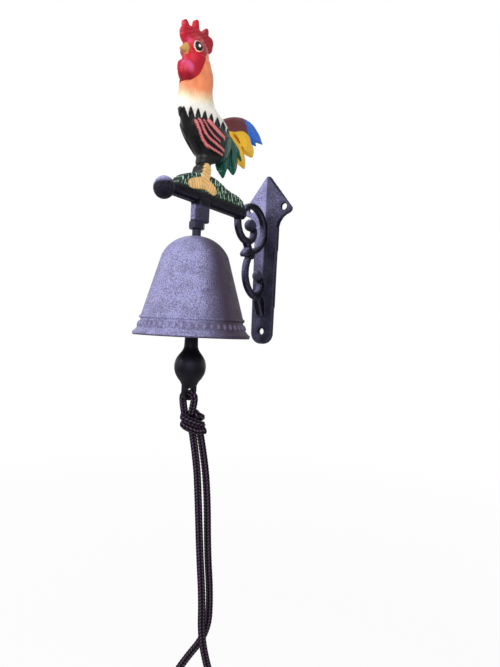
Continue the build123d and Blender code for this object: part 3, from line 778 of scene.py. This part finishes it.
def add_wattles(piece):
    """Fills the creases round the two wattles, so that the remesh turns them into one soft mass."""
    bodies = [piece]
    for place, size in WATTLE_FILLS:
        bpy.ops.mesh.primitive_uv_sphere_add(segments=40, ring_count=24, radius=1)
        body = bpy.context.active_object
        body.scale = [part * MM for part in size]
        body.location = [part * MM for part in place]
        bpy.ops.object.transform_apply(location=True, rotation=True, scale=True)
        bodies.append(body)
    for body in bodies:
        body.select_set(True)
    bpy.context.view_layer.objects.active = piece
    bpy.ops.object.join()


def sculpt_figure(mesh):
    """Feather barbs, comb pimples, toe scales and grass blades, cut into the smooth figure."""
    places, normals = read_points(mesh)
    masks = figure_masks(places)
    x, y, z = places.T
    tail = np.maximum.reduce([masks[name] for name in FEATHERS])
    barbs = RELIEF["barb"] * np.sin((z + 0.55 * y) * 2.1 + 1.3 * np.sin(0.31 * y))
    turn = np.arctan2(x / 12, (y - NECK_MIDDLE_Y) / 17)
    hackle = masks["hackle"] * (1 - masks["red"])
    quills = np.sin(turn * 26 + 0.5 * np.sin(z * 0.45)) * np.sin(z * 0.42 + 2.5 * np.sin(turn * 13))
    height = (
        barbs * ramp(tail, 0.4, 1)
        - RELIEF["pit"] * masks["pits"]
        + RELIEF["flank"] * masks["flank"] * (1 + barbs)
        + RELIEF["quill"] * hackle * quills
        + RELIEF["scale"] * masks["scales"]
        + RELIEF["blade"] * masks["grass"] * masks["blade"]
    )
    write_points(mesh, places + normals * height[:, None])


def paint_figure(mesh, paint):
    """Brush colours, one over another in the order that they were put on."""
    places, _ = read_points(mesh)
    masks = figure_masks(places)
    _, y, z = places.T
    colours = np.tile(np.array(paint.black), (len(places), 1))

    def brush(mask, colour):
        share = np.clip(mask, 0, 1)[:, None]
        colours[:] = colours * (1 - share) + np.array(colour) * share

    brush(masks["hackle"], paint.white)
    brush(masks["hackle"] * masks["cream"], paint.cream)
    brush(masks["hackle"] * masks["orange"], paint.orange)
    brush(masks["wing"], paint.pink)
    brush(masks["sickle"], paint.maroon)
    past_maroon = y + BLUE_SLOPE * (z - BLUE_START_Z) - BLUE_START_Y
    brush(np.maximum(masks["sickle"], masks["blue"]) * ramp(past_maroon, 0, 2), paint.blue)
    for name in ("yellow_upper", "yellow_lower"):
        brush(masks[name], paint.yellow)
    for name in ("green_rear", "green_front"):
        brush(masks[name], paint.green)
    brush(masks["flank"], paint.green)
    brush(masks["red"], paint.comb)
    # Painted shade towards the back of the comb and face
    brush(masks["red"] * 0.55 * ramp(y - 0.3 * (z - 100), -142, -130), paint.comb_pits_and_shade)
    # Painted shade under the wattles
    brush(masks["red"] * 0.6 * ramp(-z, -84, -77.5), paint.comb_pits_and_shade)
    brush(masks["pits"], paint.comb_pits_and_shade)
    # Painted highlight on the wattle and the brow
    brush(masks["wattle"] * masks["red"], paint.wattle)
    brush(masks["beak"], paint.beak)
    brush(masks["grass"], paint.grass_dark)
    patchy = np.sin(0.9 * y + 0.6 * z) + 0.7 * np.sin(2.3 * y - 0.35 * z)
    blades = ramp(masks["blade"], 0.45, 0.85) * ramp(patchy, -0.7, 0.3) * ramp(z, -13, -11)
    brush(masks["grass"] * blades, paint.grass_pale)
    brush(masks["foot"], paint.foot)
    # Painted shade in the grooves between the scales
    brush(masks["foot"] * ramp(-masks["scales"], -0.62, -0.1), [part * 0.5 for part in paint.foot])
    iron = (z < PAINT_LINE_Z + 0.6) & (masks["foot"] < 0.5)
    brush(iron * 1.0, paint.black)
    write_colour(mesh, "paint", colours)


def convex_edges(mesh, places, normals):
    """How sharply each vertex stands out from its neighbours, in millimetres, spread a little."""
    pairs = np.zeros(len(mesh.edges) * 2, int)
    mesh.edges.foreach_get("vertices", pairs)
    first, second = pairs.reshape(-1, 2).T
    total = np.zeros_like(places)
    count = np.zeros(len(places))
    for here, there in ((first, second), (second, first)):
        np.add.at(total, here, places[there])
        np.add.at(count, here, 1)
    sharp = -((total / np.maximum(count, 1)[:, None] - places) * normals).sum(1)
    for _ in range(3):
        spread = np.zeros(len(places))
        np.add.at(spread, first, sharp[second])
        np.add.at(spread, second, sharp[first])
        sharp = 0.5 * sharp + 0.5 * spread / np.maximum(count, 1)
    return sharp


def sheen_and_wear_mask(mesh):
    """Painted sheen on the iron: a painted highlight on faces that look to one side and up, painted light
    and shade on the plate's facets, and real rubbed wear on edges.
    """
    places, normals = read_points(mesh)
    x, y, z = places.T
    in_scroll = ramp(y, SCROLL_FRONT_Y, SCROLL_BACK_Y)
    # Painted highlight on faces toward one side and up, half as strong on the scroll
    sheen_and_wear = 0.92 * ramp(normals @ SHEEN_SIDE, 0.25, 0.9) * (1 - 0.5 * in_scroll)
    # A little more painted highlight on the boss under the arm
    sheen_and_wear += 0.16 * (z < BOSS_TOP_Z) * (np.abs(y - BELL_Y) < BOSS_REACH_Y)
    # Painted highlight on the knob's top, dark below
    knob = 1.5 * ramp(normals[:, 2] - 0.25 * normals[:, 0], 0.05, 0.65)
    sheen_and_wear = np.where(y < KNOB_BACK_Y, knob, sheen_and_wear)
    # Painted light on the plate's front: the left facet lit, fading downward; the right facet in painted
    # shade, lighter upward
    left = 1.3 - 1.16 * ramp(-z, 0, 100)
    right = 0.06 + 0.24 * ramp(z, -45, 15)
    facet = right + (left - right) * ramp(-x, -1.2, 1.2)
    sheen_and_wear = np.where((y > PLATE_FRONT_Y) & (normals[:, 1] < -0.6), facet, sheen_and_wear)
    # Real rubbed wear on convex edges
    rubbed = ramp(convex_edges(mesh, places, normals), 0.018, 0.05)
    write_mask(mesh, "sheen_and_wear", np.maximum(sheen_and_wear, 0.14 * rubbed))


# Cords

def route_point(across, deep, z):
    """A place on the cord's route, from its sideways place, depth and height about the clapper's axis."""
    return (
        (across * math.cos(CORD_TURN) - deep * math.sin(CORD_TURN)) * MM,
        (BELL_Y + across * math.sin(CORD_TURN) + deep * math.cos(CORD_TURN)) * MM,
        z * MM,
    )


def knot_route():
    """Two tilted turns round both strands, ending in a short stub at the right."""
    points = [route_point(KNOT_ACROSS + 1, 3, KNOT_Z + 9)]
    for step in range(KNOT_STEPS):
        angle = KNOT_START + KNOT_TURN * step
        bulge = KNOT_R + 1.1 * math.sin(math.pi * step / (KNOT_STEPS - 1))
        across = KNOT_ACROSS + bulge * math.cos(angle) - 0.6
        deep = 0.85 * bulge * math.sin(angle)
        points.append(route_point(across, deep, KNOT_Z + 7.6 - step - 2.0 * math.cos(angle)))
    points.append(route_point(KNOT_ACROSS + 12.2, -3.5, KNOT_Z - 6.2))
    return points


def smooth_route(name, points):
    """Points along the smooth line that has the route's points as its control points."""
    curve = bpy.data.curves.new(name + "_route", "CURVE")
    curve.dimensions = "3D"
    spline = curve.splines.new("NURBS")
    spline.points.add(len(points) - 1)
    for control, place in zip(spline.points, points):
        control.co = (*place, 1)
    spline.order_u = 3
    spline.use_endpoint_u = True
    spline.resolution_u = 24
    holder = bpy.data.objects.new(name + "_route", curve)
    bpy.context.scene.collection.objects.link(holder)
    bpy.context.view_layer.update()
    line = bpy.data.meshes.new_from_object(holder.evaluated_get(bpy.context.evaluated_depsgraph_get()))
    path = np.array([vertex.co for vertex in line.vertices])
    bpy.data.meshes.remove(line)
    bpy.data.objects.remove(holder)
    return path


def even_steps(path, step):
    """The path's points again, the same distance apart."""
    runs = np.linalg.norm(np.diff(path, axis=0), axis=1)
    along = np.concatenate([[0], np.cumsum(runs)])
    marks = np.linspace(0, along[-1], max(8, round(along[-1] / step)))
    return np.stack([np.interp(marks, along, path[:, axis]) for axis in range(3)], axis=1), marks


def braided_tube(name, path, settings, around=48):
    """Round cord along a path, its stitches slanting left and right in neighbouring columns."""
    centre, along = even_steps(path, settings.stitch / 6)
    tangents = np.gradient(centre, axis=0)
    tangents /= np.linalg.norm(tangents, axis=1)[:, None]
    side = np.cross(tangents[0], (0.3, 0.9, 0.1))
    sides = []
    for tangent in tangents:
        side = side - tangent * (side @ tangent)
        side /= np.linalg.norm(side)
        sides.append(side)
    sides = np.array(sides)
    ups = np.cross(tangents, sides)
    turn = np.arange(around) / around
    shifted = turn * settings.columns + 0.5
    column = np.floor(shifted)
    across = shifted - column - 0.5 + 0.5 * settings.columns / around
    slant = np.where(column % 2 == 0, 1, -1)
    phase = along[:, None] / settings.stitch + (slant * across)[None, :] * 0.95
    crown = np.sqrt(np.clip(1 - (2 * (phase - np.floor(phase)) - 1) ** 2, 0, 1))
    crown = crown * np.sqrt(np.clip(np.cos(math.pi * across), 0.05, 1))[None, :]
    to_end = np.minimum(along, along[-1] - along)
    rounded = np.sqrt(np.clip(1 - (1 - np.minimum(to_end / CORD_END_ROUNDING, 1)) ** 2, 0.05, 1))
    radius = (settings.diameter / 2 - STITCH_DEPTH + STITCH_HEIGHT * crown) * rounded[:, None]
    angle = 2 * math.pi * turn
    ring = np.cos(angle)[None, :, None] * sides[:, None, :] + np.sin(angle)[None, :, None] * ups[:, None, :]
    places = centre[:, None, :] + ring * radius[:, :, None]
    count = len(centre)
    index = np.arange(count * around).reshape(count, around)
    here, there = index[:-1], index[1:]
    sleeves = np.stack([here, np.roll(here, -1, 1), np.roll(there, -1, 1), there], axis=-1)
    faces = sleeves.reshape(-1, 4).tolist()
    faces.append(index[0][::-1].tolist())
    faces.append(index[-1].tolist())
    mesh = bpy.data.meshes.new(name)
    mesh.from_pydata(places.reshape(-1, 3).tolist(), [], faces)
    write_mask(mesh, "stitch_crown", crown.ravel())
    corners = np.zeros(len(mesh.loops), int)
    mesh.loops.foreach_get("vertex_index", corners)
    layer = mesh.uv_layers.new(name="UVMap")
    u = (corners % around) / around * math.pi * settings.diameter
    v = along[np.minimum(corners // around, count - 1)]
    layer.data.foreach_set("uv", np.stack([u, v], axis=1).ravel())
    piece = bpy.data.objects.new(name, mesh)
    bpy.context.scene.collection.objects.link(piece)
    return piece, centre, along[-1]


# Operators

class WALLBELL_OT_stage(bpy.types.Operator):
    """Camera, lamps, floor and white surround"""

    bl_idname = "wallbell.stage"
    bl_label = "Stage"

    def execute(self, context):
        stage = context.scene.wall_bell_stage
        context.scene.view_settings.view_transform = "Standard"
        lens = bpy.data.cameras.new("camera")
        lens.lens = stage.focal_px * SENSOR_MM / FRAME_HEIGHT_PX
        lens.sensor_width = SENSOR_MM
        lens.clip_start = 0.01
        camera = bpy.data.objects.new("camera", lens)
        context.scene.collection.objects.link(camera)
        place = Vector((
            stage.distance * math.sin(stage.turn),
            BELL_Y * MM - stage.distance * math.cos(stage.turn),
            stage.height,
        ))
        camera.matrix_world = (
            Matrix.Translation(place)
            @ Matrix.Rotation(stage.heading, 4, "Z")
            @ Matrix.Rotation(math.pi / 2 + stage.pitch, 4, "X")
            @ Matrix.Rotation(stage.roll, 4, "Z")
        )
        context.scene.camera = camera
        for name, where, power, size, tint in LAMPS:
            data = bpy.data.lights.new(name, "AREA")
            data.energy = power
            data.size = size
            data.color = tint
            lamp = bpy.data.objects.new(name, data)
            lamp.location = where
            lamp.rotation_euler = (LAMP_TARGET - Vector(where)).to_track_quat("-Z", "Y").to_euler()
            context.scene.collection.objects.link(lamp)
        self.add_floor(stage)
        self.light_world(context)
        return {"FINISHED"}

    def add_floor(self, stage):
        bpy.ops.mesh.primitive_plane_add(size=8, location=(0, 0, stage.floor))
        floor = bpy.context.active_object
        floor.name = "floor"
        material, nodes, links, shader = new_material("Pale floor")
        grain = add_node(nodes, "ShaderNodeTexNoise", Scale=6.0)
        tone = add_node(nodes, "ShaderNodeMapRange", To_Min=0.86, To_Max=0.9)
        links.new(grain.outputs["Fac"], tone.inputs["Value"])
        links.new(tone.outputs["Result"], shader.inputs["Base Color"])
        shader.inputs["Roughness"].default_value = 0.9
        glow = add_node(nodes, "ShaderNodeEmission", Strength=1.0)
        rays = nodes.new("ShaderNodeLightPath")
        place = nodes.new("ShaderNodeTexCoord")
        reach = add_node(nodes, "ShaderNodeVectorMath", operation="LENGTH")
        links.new(place.outputs["Object"], reach.inputs[0])
        far = add_node(nodes, "ShaderNodeMapRange", From_Min=0.4, From_Max=1.6, To_Min=0.93, To_Max=1.0)
        links.new(reach.outputs["Value"], far.inputs["Value"])
        share = math_node(nodes, links, "MULTIPLY", rays.outputs["Is Camera Ray"], far.outputs["Result"])
        mix = nodes.new("ShaderNodeMixShader")
        links.new(share, mix.inputs["Fac"])
        links.new(shader.outputs["BSDF"], mix.inputs[1])
        links.new(glow.outputs["Emission"], mix.inputs[2])
        links.new(mix.outputs["Shader"], nodes["Material Output"].inputs["Surface"])
        floor.data.materials.append(material)

    def light_world(self, context):
        world = bpy.data.worlds.new("surround")
        context.scene.world = world
        world.use_nodes = True
        nodes, links = world.node_tree.nodes, world.node_tree.links
        rays = nodes.new("ShaderNodeLightPath")
        seen = rays.outputs["Is Camera Ray"]
        for kind in ("Is Glossy Ray", "Is Transmission Ray"):
            seen = math_node(nodes, links, "MAXIMUM", seen, rays.outputs[kind])
        strength = add_node(nodes, "ShaderNodeMapRange", To_Min=0.3, To_Max=1.0)
        links.new(seen, strength.inputs["Value"])
        nodes["Background"].inputs["Color"].default_value = (1, 1, 1, 1)
        links.new(strength.outputs["Result"], nodes["Background"].inputs["Strength"])


class WALLBELL_OT_materials(bpy.types.Operator):
    """Iron, enamel, steel and cord finishes"""

    bl_idname = "wallbell.materials"
    bl_label = "Finishes"

    def execute(self, context):
        casting = context.scene.wall_bell_casting
        grain = grain_group()
        size = casting.grain
        bracket = (casting.iron_dark, casting.iron_sheen)
        bell = (casting.bell_dark, casting.bell_sheen)
        ovals = (screen(102, 92, 115), casting.bell_sheen)
        clapper = (screen(4, 4, 5), screen(34, 32, 38))
        nut = (screen(11, 10, 14), screen(62, 62, 86))
        iron_material("Casting iron", grain, bracket, size, 0.3 * MM, 0.42, 0.08)
        iron_material("Bell iron", grain, bell, size, 0.25 * MM, 0.46, 0.2, bell_painted_sheen)
        iron_material("Oval iron", grain, ovals, size, 0.15 * MM, 0.46, 0.2, bell_painted_sheen)
        iron_material("Clapper iron", grain, clapper, size, 0.12 * MM, 0.4, 0.2, 0.5)
        iron_material("Nut paint", grain, nut, size * 0.7, 0.1 * MM, 0.36, 0.2, 0.5)
        painted_material(grain)
        steel_material(grain)
        cord_material(context.scene.wall_bell_cord)
        return {"FINISHED"}


class WALLBELL_OT_casting(bpy.types.Operator):
    """Wall plate, scroll and arm with the soft edges of a sand casting"""

    bl_idname = "wallbell.casting"
    bl_label = "Iron casting"

    def execute(self, context):
        settings = context.scene.wall_bell_casting
        piece = welded_copy("bracket", "iron_casting")
        soft_cast(piece, settings.casting_voxel, smoothing=3)
        cutter = figure_region(margin=0)
        apply_modifier(piece, "BOOLEAN", object=cutter, operation="DIFFERENCE")
        bpy.data.objects.remove(cutter)
        sheen_and_wear_mask(piece.data)
        dress(piece, "bracket", material_named("Casting iron"))
        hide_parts("bracket")
        return {"FINISHED"}


class WALLBELL_OT_figure(bpy.types.Operator):
    """Rooster and grass mound with carved feathers and brushed paint"""

    bl_idname = "wallbell.figure"
    bl_label = "Rooster"

    def execute(self, context):
        settings = context.scene.wall_bell_casting
        piece = welded_copy("bracket", "rooster_figure")
        add_wattles(piece)
        soft_cast(piece, settings.figure_voxel, smoothing=4)
        cutter = figure_region(margin=0.1)
        apply_modifier(piece, "BOOLEAN", object=cutter, operation="INTERSECT")
        bpy.data.objects.remove(cutter)
        sculpt_figure(piece.data)
        paint_figure(piece.data, context.scene.wall_bell_paint)
        dress(piece, "bracket", material_named("Brushed enamel"))
        return {"FINISHED"}


class WALLBELL_OT_bell(bpy.types.Operator):
    """Cast finish of the bell and the plain ovals round its band"""

    bl_idname = "wallbell.bell"
    bl_label = "Bell"

    def execute(self, context):
        settings = context.scene.wall_bell_casting
        repaint("bell", material_named("Bell iron"))
        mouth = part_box("bell")[0].z
        bpy.ops.object.select_all(action="DESELECT")
        bpy.ops.mesh.primitive_uv_sphere_add(segments=14, ring_count=8, radius=1)
        first = bpy.context.active_object
        first.scale = OVAL_HALF_SIZE
        first.rotation_euler = (0, -OVAL_TILT, 0)
        first.location = (OVAL_RING_R, 0, 0)
        bpy.ops.object.transform_apply(location=True, rotation=True, scale=True)
        beads = [first]
        for index in range(1, settings.rim_beads):
            bead = first.copy()
            bead.data = first.data.copy()
            bead.data.transform(Matrix.Rotation(2 * math.pi * index / settings.rim_beads, 4, "Z"))
            context.scene.collection.objects.link(bead)
            beads.append(bead)
        for bead in beads:
            bead.select_set(True)
        bpy.context.view_layer.objects.active = first
        bpy.ops.object.join()
        first.name = "bell_rim_ovals"
        first.data.transform(Matrix.Translation((0, BELL_Y * MM, mouth + OVAL_RISE)))
        dress(first, "bell", material_named("Oval iron"))
        bpy.ops.mesh.primitive_torus_add(
            major_radius=BEAD_RING_R, minor_radius=BEAD_R, major_segments=180, minor_segments=16)
        ring = bpy.context.active_object
        ring.name = "bell_band_bead"
        places, normals = read_points(ring.data)
        turn = np.arctan2(places[:, 1], places[:, 0])
        lumps = 0.14 * np.sin(31 * turn + 2 * np.sin(5 * turn)) + 0.1 * np.sin(53 * turn)
        write_points(ring.data, places + normals * lumps[:, None] + (0, BELL_Y, (mouth + BEAD_RISE) / MM))
        dress(ring, "bell", material_named("Bell iron"))
        return {"FINISHED"}


class WALLBELL_OT_hardware(bpy.types.Operator):
    """Painted stud and lock nut, plated washer, nut and link"""

    bl_idname = "wallbell.hardware"
    bl_label = "Hardware"

    def execute(self, context):
        for node in ("lock_nut", "eye_bolt"):
            repaint(node, material_named("Nut paint"))
        for node in ("crown_washer", "crown_nut", "clapper_link"):
            repaint(node, material_named("Plated steel"))
        return {"FINISHED"}


class WALLBELL_OT_clapper(bpy.types.Operator):
    """Clapper with the soft edges of a sand casting"""

    bl_idname = "wallbell.clapper"
    bl_label = "Clapper"

    def execute(self, context):
        piece = welded_copy("clapper", "clapper_casting")
        soft_cast(piece, CLAPPER_VOXEL, smoothing=6)
        dress(piece, "clapper", material_named("Clapper iron"))
        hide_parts("clapper")
        return {"FINISHED"}


class WALLBELL_OT_cords(bpy.types.Operator):
    """Fold through the clapper's lug, knot, and the two strands with their loop"""

    bl_idname = "wallbell.cords"
    bl_label = "Cord"

    def execute(self, context):
        settings = context.scene.wall_bell_cord
        material = material_named("Braided cord")
        knot, _, _ = braided_tube("knot_wraps", smooth_route("knot_wraps", knot_route()), settings)
        dress(knot, "clapper", material)
        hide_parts("cord_knot")
        fold_points = [tuple(part * MM for part in point) for point in EYE_LOOP_ROUTE]
        fold, path, length = braided_tube("lug_fold", smooth_route("lug_fold", fold_points), settings)
        dress(fold, "clapper", material)
        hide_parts("cord_eye_loop")
        strand_points = [route_point(*point) for point in CORD_ROUTE]
        strand_path = smooth_route("pull_strands", strand_points)
        strands, path, length = braided_tube("pull_strands", strand_path, settings)
        dress(strands, "clapper", material)
        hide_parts("pull_cord")
        return {"FINISHED"}


class WALLBELL_PT_pieces(bpy.types.Panel):
    """Lists the pieces and their settings"""

    bl_label = "Wall Bell"
    bl_idname = "WALLBELL_PT_pieces"
    bl_space_type = "VIEW_3D"
    bl_region_type = "UI"
    bl_category = "Wall Bell"

    def draw(self, context):
        for operator in OPERATORS:
            self.layout.operator(operator.bl_idname)
        for name in SETTINGS:
            group = getattr(context.scene, name)
            for key in group.bl_rna.properties.keys():
                if key not in ("rna_type", "name"):
                    self.layout.prop(group, key)


OPERATORS = [
    WALLBELL_OT_stage,
    WALLBELL_OT_materials,
    WALLBELL_OT_casting,
    WALLBELL_OT_figure,
    WALLBELL_OT_bell,
    WALLBELL_OT_hardware,
    WALLBELL_OT_clapper,
    WALLBELL_OT_cords,
]


def register():
    for settings in SETTINGS.values():
        bpy.utils.register_class(settings)
    for name, settings in SETTINGS.items():
        setattr(bpy.types.Scene, name, PointerProperty(type=settings))
    for operator in OPERATORS:
        bpy.utils.register_class(operator)
    bpy.utils.register_class(WALLBELL_PT_pieces)


def unregister():
    bpy.utils.unregister_class(WALLBELL_PT_pieces)
    for operator in reversed(OPERATORS):
        bpy.utils.unregister_class(operator)
    for name, settings in SETTINGS.items():
        delattr(bpy.types.Scene, name)
        bpy.utils.unregister_class(settings)


def corners(box):
    return [[float(value) for value in corner] for corner in box]


def main():
    register()
    bpy.ops.wallbell.stage()
    bpy.ops.wallbell.materials()
    bpy.ops.wallbell.casting()
    bpy.ops.wallbell.figure()
    bpy.ops.wallbell.bell()
    bpy.ops.wallbell.hardware()
    bpy.ops.wallbell.clapper()
    bpy.ops.wallbell.cords()


if __name__ == "__main__":
    main()
